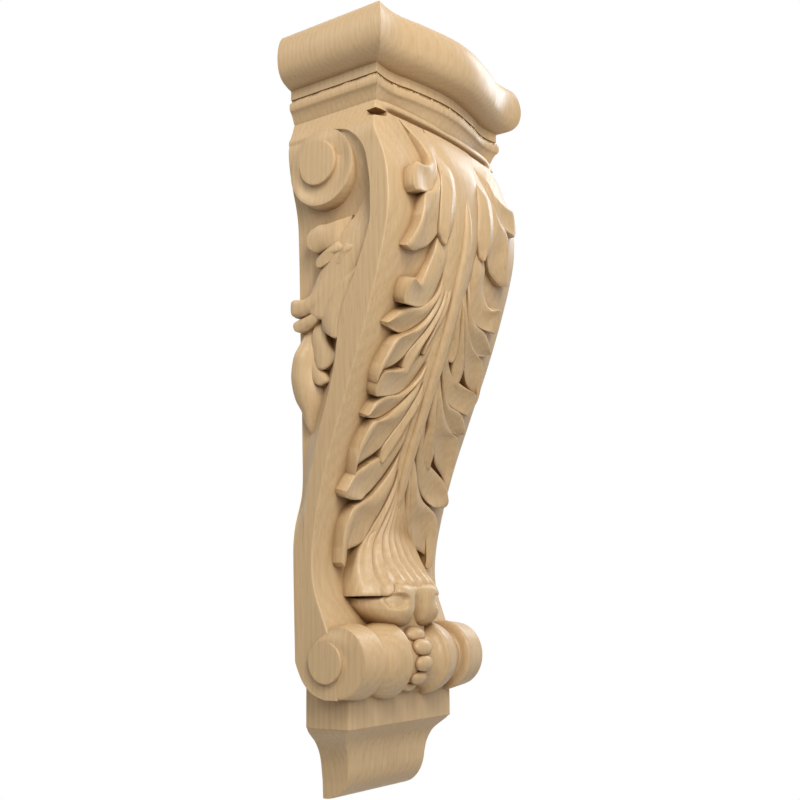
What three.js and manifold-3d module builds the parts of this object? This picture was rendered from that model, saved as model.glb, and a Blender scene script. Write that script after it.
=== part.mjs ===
// A carved wooden corbel bracket, made from one block of pale hardwood: a moulded cap with a
// bowed front, a console that swells at the top and is carved with acanthus on its front and
// sides, a scroll at each upper side, a cross roll with scrolled ends, and a pendant below.
//
// Millimetres. X runs along the wall, Y points into the wall, so the front faces -Y, and Z is
// up. The back lies on the wall plane Y = 0. Heights are counted from the pendant's underside,
// and the finished corbel is lowered so that the origin is the middle of its back.
import * as THREE from 'three';
import { mergeVertices } from 'three/addons/utils/BufferGeometryUtils.js';
import Module from 'manifold-3d';

const wasm = await Module();
wasm.setup();

// Pendant and block
const pendantHeight = 50;
const pendantFootHalfWidth = 44.5;
const pendantFootDepth = 32;
const blockHeight = 22;
const blockHalfWidth = 63;
const blockDepth = 38.5;

// Cross roll with scrolled ends, and the beads in its middle groove
const rollRadius = 25;
const rollHalfLength = 75;
const rollAxisDepth = 37.5;
const rollNeckRadius = 20.7;
const rollRidgeRadius = 27.4;
const rollGrooveRadius = 20;
const rollEyeRadius = 14.5;
const beadCount = 5;
const beadHalfWidth = 9;
const beadRise = 4.5;

// Console, its side scrolls and the leaf's curled tip
const consoleHeight = 396;
const consoleTopHalfWidth = 88;
const consoleProjection = 94;
const sideRecess = 13.5;
const scrollRadius = 29.5;
const scrollDepth = 31.5;
const scrollEyeRadius = 16.5;
const scrollStep = 3;
const leafRelief = 12;
const fluteCount = 7;
const curlRadius = 13;
const curlHalfLength = 47;

// Cap
const capHeight = 68;
const capFilletHalfWidth = 82.6;
const capFilletDepth = 81.8;
const capRollReach = 15.7;
const capBow = 11.2;

// Heights that follow from the stack of pendant, block, roll, console and cap
const rollHeight = pendantHeight + blockHeight + rollRadius - 1;
const consoleTop = rollHeight + consoleHeight;
const corbelHeight = consoleTop + capHeight;
const scrollHeight = consoleTop - 1.36 * scrollRadius;

// The carving is drawn on a sheet of this size, in millimetres, and scaled to the console
const sheet = { bottom: 96, height: 396, halfWidth: 88, projection: 94, relief: 12 };
const scaleUp = consoleHeight / sheet.height;
const scaleAcross = consoleTopHalfWidth / sheet.halfWidth;
const scaleOut = consoleProjection / sheet.projection;
const scaleRelief = leafRelief / sheet.relief;

const heightOf = (sheetZ) => rollHeight + (sheetZ - sheet.bottom) * scaleUp;

// A smooth curve through rows of [place, value, value, ...], read at any place
function curveThrough(rows) {
  const slopeAt = (i, k) => {
    const before = rows[Math.max(i - 1, 0)];
    const after = rows[Math.min(i + 1, rows.length - 1)];
    return (after[k] - before[k]) / (after[0] - before[0]);
  };
  return (place) => {
    let i = 0;
    while (i < rows.length - 2 && place > rows[i + 1][0]) i += 1;
    const span = rows[i + 1][0] - rows[i][0];
    const t = THREE.MathUtils.clamp((place - rows[i][0]) / span, 0, 1);
    return rows[i].slice(1).map((start, n) => {
      const end = rows[i + 1][n + 1];
      const ease = t * t * (3 - 2 * t);
      const lean = t * (1 - t) * (1 - t) * slopeAt(i, n + 1) - t * t * (1 - t) * slopeAt(i + 1, n + 1);
      return start + (end - start) * ease + lean * span;
    });
  };
}

// Front of the console on the sheet: height, depth from the wall
const frontProfile = curveThrough([
  [70, 37], [96, 37], [123, 27], [146, 18.7], [165, 17], [190, 20.4], [235, 33], [280, 50.5],
  [325, 68.7], [370, 84], [403, 92.5], [426, 94], [448, 91], [470, 83], [494, 76],
]);

// Side of the console on the sheet: height, how deep the ground is cut, and the depths from
// the wall of the raised band's inner edge and of the foot of its slope
const sideProfile = curveThrough([
  [96, 0, 8, 0], [172, 0, 8, 0], [190, 2.5, 10, 0], [215, 11, 14, 0], [250, 12.5, 24, 4],
  [300, 13, 41, 22], [340, 13, 49, 38], [370, 13.5, 64, 56], [400, 13.5, 76, 72],
  [430, 13.5, 78, 75], [452, 13.5, 75, 72], [466, 13.5, 67, 64], [479, 13.5, 37, 35],
]);

// The outer side planes lean out as they rise, and round in under the cap
const sidePlane = curveThrough([[96, 75], [250, 80.6], [455, 88], [472, 87.6], [484, 82], [496, 78]]);

const bowAt = (sheetZ) => 7 * THREE.MathUtils.smoothstep(sheetZ, 420, 492);

// A point on the front, raised off it along the surface's own direction
function frontPoint(x, sheetZ, raise) {
  const depthAt = (z) => frontProfile(z)[0] * scaleOut;
  const lean = (depthAt(sheetZ + 1) - depthAt(sheetZ - 1)) / (2 * scaleUp);
  const length = Math.hypot(1, lean);
  const bow = bowAt(sheetZ) * (1 - (x / sheet.halfWidth) ** 2);
  return new THREE.Vector3(
    x * scaleAcross,
    -depthAt(sheetZ) - bow - (raise * scaleRelief) / length,
    heightOf(sheetZ) - (raise * scaleRelief * lean) / length,
  );
}

// A point on the recessed ground of a side, raised off it towards the side plane
function sidePoint(depth, sheetZ, raise) {
  const ground = sidePlane(sheetZ)[0] * scaleAcross - sideRecess;
  return new THREE.Vector3(ground + raise * scaleRelief, -depth * scaleOut, heightOf(sheetZ));
}

// A solid from a closed geometry, turned over if its faces point inward
function solidOf(geometry) {
  geometry.deleteAttribute('normal');
  geometry.deleteAttribute('uv');
  const merged = mergeVertices(geometry, 1e-4);
  const faces = Array.from(merged.index.array);
  const corner = (i) => new THREE.Vector3().fromBufferAttribute(merged.attributes.position, faces[i]);
  let volume = 0;
  for (let i = 0; i < faces.length; i += 3) {
    volume += corner(i).dot(corner(i + 1).cross(corner(i + 2)));
  }
  return new wasm.Manifold(new wasm.Mesh({
    numProp: 3,
    vertProperties: new Float32Array(merged.attributes.position.array),
    triVerts: new Uint32Array(volume < 0 ? faces.toReversed() : faces),
  }));
}

// A closed skin over rings of points, each ring with as many points as the others
function loft(rings) {
  const count = rings[0].length;
  const middles = [rings[0], rings.at(-1)].map((ring) => ring
    .reduce((sum, point) => sum.add(point), new THREE.Vector3())
    .divideScalar(count));
  const points = [...rings.flat(), ...middles];
  const last = (rings.length - 1) * count;
  const faces = [];
  for (let i = 0; i < count; i += 1) {
    const next = (i + 1) % count;
    for (let start = 0; start < last; start += count) {
      faces.push(start + i, start + next, start + next + count);
      faces.push(start + i, start + next + count, start + i + count);
    }
    faces.push(last + count, next, i);
    faces.push(last + count + 1, last + i, last + next);
  }
  return solidOf(new THREE.BufferGeometry().setFromPoints(points).setIndex(faces));
}

const flipped = (point) => new THREE.Vector3(-point.x, point.y, point.z);

function both(makeSide) {
  return [1, -1].flatMap((side) => makeSide((ring) => (side < 0 ? ring.map(flipped) : ring)));
}

// One strand or lobe of a leaf. It follows rows of [place, place, half-width, rise]. A broad one
// has a ridge near each edge and a hollow between them, a slim one has a single ridge.
const wallFoot = -4;
const broadSection = [[-1, 0.7], [-0.64, 1], [0, 0.74], [0.64, 1], [1, 0.7]];
const slimSection = [[-1, 0.72], [0, 1], [1, 0.72]];
const slimHalfWidth = 7;

function strand(rows, surface, steps, place = (ring) => ring) {
  const path = curveThrough(rows.map((row, i) => [i / (rows.length - 1), ...row]));
  const widest = Math.max(...rows.map((row) => row[2]));
  const top = widest > slimHalfWidth ? broadSection : slimSection;
  const rings = [];
  for (let step = 0; step <= steps; step += 1) {
    const t = step / steps;
    const [u, v, halfWidth, rise] = path(t);
    const [aheadU, aheadV] = path(Math.min(t + 0.02, 1));
    const [backU, backV] = path(Math.max(t - 0.02, 0));
    const length = Math.hypot(aheadU - backU, aheadV - backV) / halfWidth;
    const at = (across, height) => surface(
      u + (across * (aheadV - backV)) / length,
      v - (across * (aheadU - backU)) / length,
      height,
    );
    const ridge = top.map(([across, share]) => at(across, share * rise));
    rings.push(place([at(-1, wallFoot), ...ridge, at(1, wallFoot)]));
  }
  return loft(rings);
}

// The console's body: flat outer bands, sides cut back between them and the wall, and an
// underside that curls from the wall to the foot of the roll
function consoleBody() {
  const underside = curveThrough([[70, 30], [74, 17], [81, 8], [89, 3], [96, 0]]);
  const drawnLevels = [71, 74, 78, 84, 90, 96, 123, 134, 146, 165, 182, 200, 222, 250, 280, 310,
    340, 370, 388, 403, 420, 437, 452, 466, 475];
  const drawnCut = 13.5;
  const sheetTop = sheet.bottom + sheet.height;
  const recessTop = sheetTop - 13;
  const topLevels = [recessTop, recessTop + 1, sheetTop - 5, sheetTop + 3];
  const levels = [...drawnLevels.filter((z) => z < recessTop), ...topLevels];
  return loft(levels.map((z) => {
    const [cut, inner, foot] = sideProfile(z);
    const plane = sidePlane(z)[0] * scaleAcross;
    const open = z <= recessTop;
    const ground = open ? plane - (cut * sideRecess) / drawnCut : plane;
    const depth = frontProfile(z)[0];
    const back = z < sheet.bottom ? underside(z)[0] : 0;
    const half = [
      [plane / 2, depth + 0.75 * bowAt(z)],
      [plane, depth],
      [plane, Math.max(open ? inner : depth / 2, back + 1)],
      [ground, Math.max(open ? foot : depth / 4, back + 0.5)],
      [ground, back],
    ];
    const left = half.toReversed().map(([x, y]) => [-x, y]);
    return [[0, depth + bowAt(z)], ...half, ...left].map(([x, y]) => new THREE.Vector3(
      x,
      -y * scaleOut,
      heightOf(z),
    ));
  }));
}

// A disc that faces sideways at each side, from the core out to a given half-width
function sideDiscs(radius, depth, height, halfWidth, sides) {
  const disc = new THREE.CylinderGeometry(radius, radius, 2 * halfWidth, sides);
  disc.rotateZ(Math.PI / 2);
  disc.translate(0, -depth, height);
  return solidOf(disc);
}

function upperScrolls() {
  const face = sidePlane(452)[0] * scaleAcross;
  return [
    sideDiscs(scrollRadius, scrollDepth, scrollHeight, face - scrollStep, 26),
    sideDiscs(scrollEyeRadius, scrollDepth - 2.5, scrollHeight + 3, face, 20),
  ];
}

// The cross roll: scrolled ends, a neck, a bell with a sharp ridge, and a middle groove
function crossRoll() {
  const half = [
    [rollHalfLength, 0], [rollHalfLength, rollRadius - 1.5], [0.88 * rollHalfLength, rollRadius],
    [0.74 * rollHalfLength, rollRadius + 0.8], [0.68 * rollHalfLength, rollRadius - 1],
    [0.64 * rollHalfLength, rollNeckRadius], [0.5 * rollHalfLength, rollNeckRadius + 1.8],
    [0.36 * rollHalfLength, rollRidgeRadius - 0.8], [0.29 * rollHalfLength, rollRidgeRadius],
    [0.22 * rollHalfLength, rollGrooveRadius + 1.5], [0.12 * rollHalfLength, rollGrooveRadius],
  ];
  const outline = [...half, ...half.toReversed().map(([x, radius]) => [-x, radius])];
  const roll = new THREE.LatheGeometry(outline.map(([x, r]) => new THREE.Vector2(r, x)), 18);
  roll.rotateZ(Math.PI / 2);
  roll.translate(0, -rollAxisDepth, rollHeight);
  const eyes = sideDiscs(rollEyeRadius, rollAxisDepth - 9, rollHeight, rollHalfLength + 1.5, 18);
  return [solidOf(roll), eyes];
}

// Beads stacked in the roll's middle groove, smaller downwards
function beads() {
  return Array.from({ length: beadCount }, (_, i) => {
    const size = 1 - 0.08 * i;
    const angle = THREE.MathUtils.degToRad(53 - 33 * i);
    const reach = rollGrooveRadius + 0.35 * beadRise * size;
    const bead = new THREE.SphereGeometry(1, 8, 6);
    bead.scale(beadHalfWidth * size, beadRise * 1.3 * size, beadRise * 1.15 * size);
    bead.rotateX(-angle);
    bead.translate(0, -rollAxisDepth - reach * Math.cos(angle), rollHeight + reach * Math.sin(angle));
    return solidOf(bead);
  });
}

function block() {
  const height = blockHeight + rollRadius / 2;
  const box = new THREE.BoxGeometry(2 * blockHalfWidth, blockDepth, height);
  box.translate(0, -blockDepth / 2, pendantHeight + height / 2);
  return solidOf(box);
}

// The pendant: a hollow curve in under the block, then a front that rounds back to the wall
function pendant() {
  const rows = [[0, 0, 0.12], [0.06, 0.01, 0.33], [0.14, 0.02, 0.44], [0.24, 0.04, 0.54],
    [0.36, 0.08, 0.66], [0.52, 0.15, 0.8], [0.66, 0.28, 0.89], [0.8, 0.5, 0.98],
    [0.9, 0.75, 1.09], [1, 1, 1.16]];
  return loft(rows.map(([share, flare, depth]) => {
    const rise = share * pendantHeight + (share === 1 ? 1 : 0);
    const wide = pendantFootHalfWidth + (blockHalfWidth - 1 - pendantFootHalfWidth) * flare;
    const deep = Math.min(pendantFootDepth * depth, blockDepth - 0.5);
    const round = Math.min(4, deep / 3);
    return [[-wide, 0], [-wide, -deep + round], [-wide + round, -deep], [wide - round, -deep],
      [wide, -deep + round], [wide, 0]].map(([x, y]) => new THREE.Vector3(x, y, rise));
  }));
}

// The cap's plan at one level: straight sides, flared corners and a bow in the middle
function capRing(share, reach, bow) {
  const halfWidth = capFilletHalfWidth + reach;
  const points = [];
  for (let i = -8; i <= 8; i += 1) {
    const along = Math.abs(i / 8);
    const swell = 0.5 + 0.5 * Math.cos(Math.PI * Math.min(along / 0.85, 1));
    const dip = Math.max(0, 1 - ((along - 0.77) / 0.23) ** 2) * (1 - swell);
    const depth = capFilletDepth + reach + bow * swell - 1.8 * dip;
    points.push(new THREE.Vector3(halfWidth * i / 8, -depth, consoleTop + share * capHeight));
  }
  const wall = [halfWidth, -halfWidth];
  return [...points, ...wall.map((x) => new THREE.Vector3(x, 0, consoleTop + share * capHeight))];
}

// Cap mouldings from the bottom up: nib, cove, nose, fillet and the large roll
function cap() {
  const lowBow = 0.7 * capBow;
  const rows = [
    [-0.03, -5, lowBow], [0.01, -4.9, lowBow], [0.04, -3.6, lowBow], [0.11, -2.2, lowBow],
    [0.16, 0, lowBow], [0.18, 1.2, lowBow], [0.22, 1.5, lowBow], [0.27, 1, lowBow],
    [0.3, 0, lowBow], [0.42, 0, lowBow], [0.43, 0.25 * capRollReach, 0.85 * capBow],
    [0.48, 0.62 * capRollReach, capBow], [0.58, 0.9 * capRollReach, capBow],
    [0.74, capRollReach, capBow], [0.9, 0.86 * capRollReach, capBow],
    [1, 0.64 * capRollReach, capBow],
  ];
  return [loft(rows.map(([share, reach, bow]) => capRing(share, reach, bow)))];
}

// Landmarks of the three lower bundles: where the nose, the paddle's tip and the tongue end
const bundles = [
  { nose: [61, 357], paddle: [65, 295], tongue: [34, 303], size: 1 },
  { nose: [61, 291], paddle: [58, 228], tongue: [27.5, 240], size: 1 },
  { nose: [56, 214], paddle: [53, 163], tongue: [24, 180], size: 0.92 },
];

// One bundle of lobes as drawn for the uppermost of the three
const bundleDrawing = [
  [[22, 402, 8, 8], [27, 384, 9.5, 11], [33, 368, 9.5, 12], [45, 357, 9, 12.5], [61, 357, 8, 9]],
  [[18, 376, 2.5, 8], [25, 352, 5, 10], [41, 340, 7, 11], [58, 337, 5.5, 9.5], [70, 331.5, 1, 3]],
  [[20, 362, 3, 8], [28, 342, 5.5, 10], [40, 325, 9.5, 12], [54, 311, 12, 11], [64, 297, 5, 6]],
  [[13, 368, 3.5, 8], [18, 347, 6, 10], [27, 326, 9, 11], [34, 303, 4.5, 7]],
  [[7, 380, 3.5, 9], [10, 350, 4.5, 10], [19, 318, 4, 8]],
];

// The uppermost bundle hangs from the cap: a blunt nose, a paddle and a tongue
const crownDrawing = [
  [[30, 484, 6, 5], [38, 472, 9, 9], [48, 454, 11, 12], [60, 437, 10.5, 12.5], [71, 431, 9, 9]],
  [[34, 462, 4, 10], [42, 436, 7.5, 12], [47, 412, 11.5, 12], [54, 397, 11, 10], [69, 386, 2, 4]],
  [[24, 468, 5, 9], [25, 442, 8, 12], [26, 415, 9, 12], [27, 395, 5, 8]],
];

// Shears a place in the drawing onto a bundle's own three landmarks
function shear(bundle, [x, z]) {
  const from = bundles[0];
  const edge = (a, b) => [a[0] - b[0], a[1] - b[1]];
  const [ax, az] = edge(from.nose, from.tongue);
  const [bx, bz] = edge(from.paddle, from.tongue);
  const [dx, dz] = edge([x, z], from.tongue);
  const whole = ax * bz - az * bx;
  const a = (dx * bz - dz * bx) / whole;
  const b = (ax * dz - az * dx) / whole;
  const [cx, cz] = edge(bundle.nose, bundle.tongue);
  const [ex, ez] = edge(bundle.paddle, bundle.tongue);
  return [bundle.tongue[0] + a * cx + b * ex, bundle.tongue[1] + a * cz + b * ez];
}

function frontLeaf() {
  const sheared = bundles.flatMap((bundle) => bundleDrawing.map((rows) => rows.map(
    ([x, z, halfWidth, rise]) => [...shear(bundle, [x, z]), halfWidth * bundle.size, rise],
  )));
  const lobes = both((place) => [...crownDrawing, ...sheared]
    .map((rows) => strand(rows, frontPoint, rows.length, place)));
  const stem = [[0, 488, 34, 7], [0, 450, 26, 8], [0, 400, 20, 8], [0, 330, 16, 8],
    [0, 260, 14, 8], [0, 190, 12, 9]];
  const rib = [[0, 425, 7, 10], [0, 380, 6.5, 12.4], [0, 300, 6, 12.4], [0, 200, 6, 12.4]];
  return [...lobes, strand(stem, frontPoint, 7), strand(rib, frontPoint, 5)];
}

// The fluted lower end of the leaf, which lifts off the console into the curled tip
function apron() {
  return Array.from({ length: fluteCount }, (_, i) => {
    const fan = i - (fluteCount - 1) / 2;
    const flute = 6.6 * 7 / fluteCount;
    return strand([
      [fan * 0.55 * flute, 222, 0.45 * flute, 10],
      [fan * 1.1 * flute, 185, 0.8 * flute, 12],
      [fan * 1.7 * flute, 157, 1.05 * flute, 17],
      [fan * 1.9 * flute, 141, 1.1 * flute, 25],
    ], frontPoint, 3);
  });
}

// Two lobes side by side, and the mass that roots them between the roll, the front and the apron
function curl() {
  const lobeHeight = heightOf(133);
  const lobeDepth = frontProfile(134)[0] * scaleOut + 16;
  const lobes = [-1, 1].map((side) => {
    const lobe = new THREE.SphereGeometry(1, 12, 8);
    lobe.scale(0.6 * curlHalfLength, curlRadius * 1.5, curlRadius);
    lobe.rotateY(side * 0.12);
    lobe.translate(side * 0.42 * curlHalfLength, -lobeDepth, lobeHeight);
    return solidOf(lobe);
  });
  const rootDepth = 0.88 * lobeDepth;
  const rootHeight = heightOf(152) - rollHeight;
  const root = new THREE.BoxGeometry(1.5 * curlHalfLength, rootDepth, rootHeight);
  root.translate(0, -rootDepth / 2, rollHeight + rootHeight / 2);
  return [...lobes, solidOf(root)];
}

// Leaf on each side: places are depth from the wall and height on the sheet
const sideLeafDrawing = [
  [[62, 402, 5, 6], [44, 398, 8, 10], [28, 397, 8, 10]],
  [[58, 398, 5, 6], [44, 389, 6, 9], [30, 381, 4, 8]],
  [[68, 388, 5, 5], [50, 374, 8, 10], [32, 360, 8, 11], [14, 350, 7, 11], [3, 349, 5, 10]],
  [[28, 350, 5, 10], [16, 341, 5, 11], [4, 338, 3, 10]],
  [[66, 388, 5, 5], [55, 365, 9, 11], [45, 345, 11, 12], [41, 326, 9, 10]],
  [[36, 360, 5, 9], [27, 342, 7, 10], [23, 322, 8, 11], [26, 304, 4, 8]],
  [[22, 332, 5, 9], [15, 314, 7, 11], [17, 301, 7, 11], [24, 292, 3, 8]],
  [[14, 335, 6, 10], [7, 318, 8, 12], [3, 300, 9, 13], [5, 282, 8, 11], [12, 258, 3, 2]],
];

function sideLeaves() {
  return both((place) => sideLeafDrawing
    .map((rows) => strand(rows, sidePoint, rows.length, place)));
}

function carved() {
  const parts = [
    consoleBody(), ...upperScrolls(), ...crossRoll(), ...beads(), block(), pendant(), ...cap(),
    ...frontLeaf(), ...apron(), ...curl(), ...sideLeaves(),
  ];
  const whole = parts.reduce((sum, part) => sum.add(part));
  const wallDepth = consoleProjection;
  const wall = new THREE.BoxGeometry(4 * capFilletHalfWidth, wallDepth, 2 * corbelHeight);
  wall.translate(0, wallDepth / 2, corbelHeight / 2);
  return whole.subtract(solidOf(wall));
}

function meshOf(name, solid, material) {
  const { vertProperties, triVerts } = solid.getMesh();
  const geometry = new THREE.BufferGeometry();
  geometry.setAttribute('position', new THREE.BufferAttribute(vertProperties, 3));
  geometry.setIndex(new THREE.BufferAttribute(triVerts, 1));
  const mesh = new THREE.Mesh(geometry, material);
  mesh.name = name;
  return mesh;
}

const paleWood = new THREE.MeshStandardMaterial({ color: 0xd2b98f, roughness: 0.5, metalness: 0 });

const group = new THREE.Group();
const corbel = meshOf('corbel', carved(), paleWood);
corbel.position.z = -corbelHeight / 2;
group.add(corbel);

export default group;
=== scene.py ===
import math
import bmesh
import bpy
import numpy as np
from mathutils import Matrix, Vector


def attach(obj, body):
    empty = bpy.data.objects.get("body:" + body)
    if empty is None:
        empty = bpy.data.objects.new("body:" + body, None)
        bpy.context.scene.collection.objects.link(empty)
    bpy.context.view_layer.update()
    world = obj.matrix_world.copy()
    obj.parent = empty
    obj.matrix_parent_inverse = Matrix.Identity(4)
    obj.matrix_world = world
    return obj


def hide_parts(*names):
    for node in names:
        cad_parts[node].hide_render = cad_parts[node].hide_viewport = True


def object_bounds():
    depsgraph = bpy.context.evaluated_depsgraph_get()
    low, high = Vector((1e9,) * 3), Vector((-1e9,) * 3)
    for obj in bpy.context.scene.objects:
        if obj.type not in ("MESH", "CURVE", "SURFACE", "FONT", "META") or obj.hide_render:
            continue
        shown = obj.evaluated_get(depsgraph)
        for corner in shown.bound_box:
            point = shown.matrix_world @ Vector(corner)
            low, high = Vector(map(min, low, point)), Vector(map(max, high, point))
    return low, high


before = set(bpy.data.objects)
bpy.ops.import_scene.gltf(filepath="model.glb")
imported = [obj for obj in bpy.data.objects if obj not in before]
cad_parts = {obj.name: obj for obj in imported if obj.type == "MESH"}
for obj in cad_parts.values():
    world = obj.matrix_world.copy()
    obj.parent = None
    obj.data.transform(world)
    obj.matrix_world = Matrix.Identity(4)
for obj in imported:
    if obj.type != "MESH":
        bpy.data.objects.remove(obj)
cadLow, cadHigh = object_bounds()

# Everything is drawn in millimetres above the pendant's underside, then scaled to the frame.
drawnHeight = 560.0
mm = (cadHigh.z - cadLow.z) / drawnHeight
footLevel = cadLow.z


def toFrame(points):
    placed = np.asarray(points, dtype=float) * mm
    placed[..., 2] += footLevel
    return placed


def smooth(value, start, end):
    t = np.clip((np.asarray(value, dtype=float) - start) / (end - start), 0, 1)
    return t * t * (3 - 2 * t)


# A smooth curve through rows of [place, value, value, ...]
def curveThrough(rows):
    table = np.asarray(rows, dtype=float)
    places, values = table[:, 0], table[:, 1:]
    slopes = np.empty_like(values)
    slopes[1:-1] = (values[2:] - values[:-2]) / (places[2:] - places[:-2])[:, None]
    slopes[0] = (values[1] - values[0]) / (places[1] - places[0])
    slopes[-1] = (values[-1] - values[-2]) / (places[-1] - places[-2])

    def read(place):
        place = np.asarray(place, dtype=float)
        i = np.clip(np.searchsorted(places, place, side="right") - 1, 0, len(places) - 2)
        span = (places[i + 1] - places[i])[..., None]
        t = np.clip((place - places[i])[..., None] / span, 0, 1)
        blend = t * t * (3 - 2 * t)
        lean = t * (1 - t) ** 2 * slopes[i] - t * t * (1 - t) * slopes[i + 1]
        return values[i] + (values[i + 1] - values[i]) * blend + lean * span

    return read


# The faces between rings that follow one another
def ringFaces(steps, count):
    i = np.arange(count)
    j = (i + 1) % count
    faces = []
    for a in range(0, (steps - 1) * count, count):
        faces.extend(np.stack([a + i, a + j, a + count + j, a + count + i], 1).tolist())
    return faces


# Shapes gather points and faces, then become one mesh object
class Shape:
    def __init__(self):
        self.points = []
        self.faces = []
        self.count = 0

    def add(self, points, faces):
        points = np.asarray(points, dtype=float).reshape(-1, 3)
        self.points.append(points)
        self.faces.extend([tuple(int(k) + self.count for k in face) for face in faces])
        self.count += len(points)

    # A skin over rings of points, closed by a flat face at each end
    def loft(self, rings):
        rings = np.asarray(rings, dtype=float)
        steps, count = rings.shape[:2]
        faces = ringFaces(steps, count)
        faces.append(list(range(count))[::-1])
        faces.append([(steps - 1) * count + k for k in range(count)])
        self.addOutward(rings.reshape(-1, 3), faces)

    # Rings whose first half is an upper skin and whose second half is the under side, walked back
    def shell(self, rings, half):
        rings = np.asarray(rings, dtype=float)
        steps, count = rings.shape[:2]
        faces = ringFaces(steps, count)
        last = (steps - 1) * count
        for k in range(half - 1):
            faces.append([k, count - 1 - k, count - 2 - k, k + 1])
            faces.append([last + k, last + k + 1, last + count - 2 - k, last + count - 1 - k])
        self.addOutward(rings.reshape(-1, 3), faces)

    # Turns the faces round where they enclose the space from the wrong side
    def addOutward(self, points, faces):
        q = np.asarray([face for face in faces if len(face) == 4])
        v0, v1, v2, v3 = (points[q[:, k]] - points.mean(0) for k in range(4))
        volume = (np.einsum("ij,ij->i", v0, np.cross(v1, v2)).sum()
                  + np.einsum("ij,ij->i", v0, np.cross(v2, v3)).sum())
        self.add(points, [face[::-1] for face in faces] if volume < 0 else faces)

    def build(self, name, sharpAngle=35, weld=0.01):
        mesh = bpy.data.meshes.new(name)
        mesh.from_pydata(toFrame(np.concatenate(self.points)).tolist(), [], self.faces)
        mesh.validate()
        piece = bpy.data.objects.new(name, mesh)
        bpy.context.collection.objects.link(piece)
        bm = bmesh.new()
        bm.from_mesh(mesh)
        bmesh.ops.remove_doubles(bm, verts=bm.verts, dist=weld * mm)
        bmesh.ops.dissolve_degenerate(bm, edges=bm.edges, dist=0.5 * weld * mm)
        bm.to_mesh(mesh)
        bm.free()
        mesh.shade_smooth()
        mesh.set_sharp_from_angle(angle=math.radians(sharpAngle))
        return piece


def mirrored(points):
    return np.asarray(points) * np.array([-1.0, 1.0, 1.0])


# Console profiles. Front, plane and underside rows are height and place; side rows are height,
# depth of the sunk ground, and how far from the wall its bank begins and ends.
console = {
    "front": [[60, 37], [96, 37], [123, 27], [146, 18.7], [165, 17], [190, 20.4], [235, 33],
              [280, 50.5], [325, 68.7], [370, 84], [403, 92.5], [426, 94], [448, 91], [470, 83],
              [496, 75.5]],
    "side": [[60, 0, 8, 0], [172, 0, 8, 0], [190, 2.5, 10, 0], [215, 11, 14, 0],
             [250, 12.5, 24, 4], [300, 13, 41, 22], [340, 13, 49, 38], [370, 13.5, 64, 54],
             [400, 13.5, 76.5, 68], [418, 13, 78, 70], [430, 11, 78, 70.5], [440, 8.3, 77, 70.5],
             [452, 5.6, 75, 69.5], [460, 4.3, 71.5, 66.5], [466, 3.6, 67, 62.5],
             [473, 2.7, 58, 54], [477.5, 2, 46, 43], [480, 1.4, 33, 31]],
    "plane": [[60, 75], [96, 75], [250, 80.6], [455, 88], [472, 87.6], [484, 82], [496, 78]],
    "underside": [[70, 30], [74, 17], [81, 8], [89, 3], [96, 0]],
    "crown": 2.0,        # how far the front's middle stands forward of its edges
    "crownWidth": 15.0,
    "arrisRound": 1.3,
    "notchSize": 9.0,    # the small cut at the corner under the cap
    "notchHeight": [479.6, 481.6, 486.6],
    "undercut": 4.8,     # the dark line cut between the front and the cap
    "undercutHeight": 488.0,
    "undercutWidth": 2.0,
    "undercutFade": [62, 77],
    "bow": 7.0,
    "bowHeight": [420, 492],
    "halfWidth": 88.0,
    "top": 495.0,
    "bottom": 71.0,
    "recessTop": 479.5,
    "fineFrom": 462.0,   # levels lie closer together from here up
    "levelSteps": [1.6, 0.6, 0.5],
}
frontProfile = curveThrough(console["front"])
sideProfile = curveThrough(console["side"])
planeProfile = curveThrough(console["plane"])
undersideProfile = curveThrough(console["underside"])


def frontDepth(x, z):
    bow = console["bow"] * smooth(z, *console["bowHeight"]) * (1 - (x / console["halfWidth"]) ** 2)
    plane = planeProfile(z)[..., 0]
    crown = console["crown"] * (1 - smooth(np.abs(x), plane - console["crownWidth"], plane + 2))
    line = np.exp(-((z - console["undercutHeight"]) / console["undercutWidth"]) ** 2)
    cut = console["undercut"] * line * (1 - smooth(np.abs(x), *console["undercutFade"]))
    return frontProfile(z)[..., 0] + bow + crown - cut


# A point on the front, raised off it square to the profile
def frontPoint(x, z, raised):
    x, z, raised = np.broadcast_arrays(x, z, raised)
    lean = (frontProfile(z + 1)[..., 0] - frontProfile(z - 1)[..., 0]) / 2
    length = np.hypot(1, lean)
    return np.stack([x, -frontDepth(x, z) - raised / length, z - raised * lean / length], -1)


# A point straight out from the front, at its own height
def levelPoint(x, z, raised):
    x, z, raised = np.broadcast_arrays(x, z, raised)
    return np.stack([x, -frontDepth(x, z) - raised, z], -1)


# A point on the left side's sunk ground, raised towards the side plane
def sidePoint(depth, z, raised):
    depth, z, raised = np.broadcast_arrays(depth, z, raised)
    ground = planeProfile(z)[..., 0] - sideProfile(np.minimum(z, 478))[..., 0]
    return np.stack([-(ground + raised), -depth, z], -1)


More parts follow.
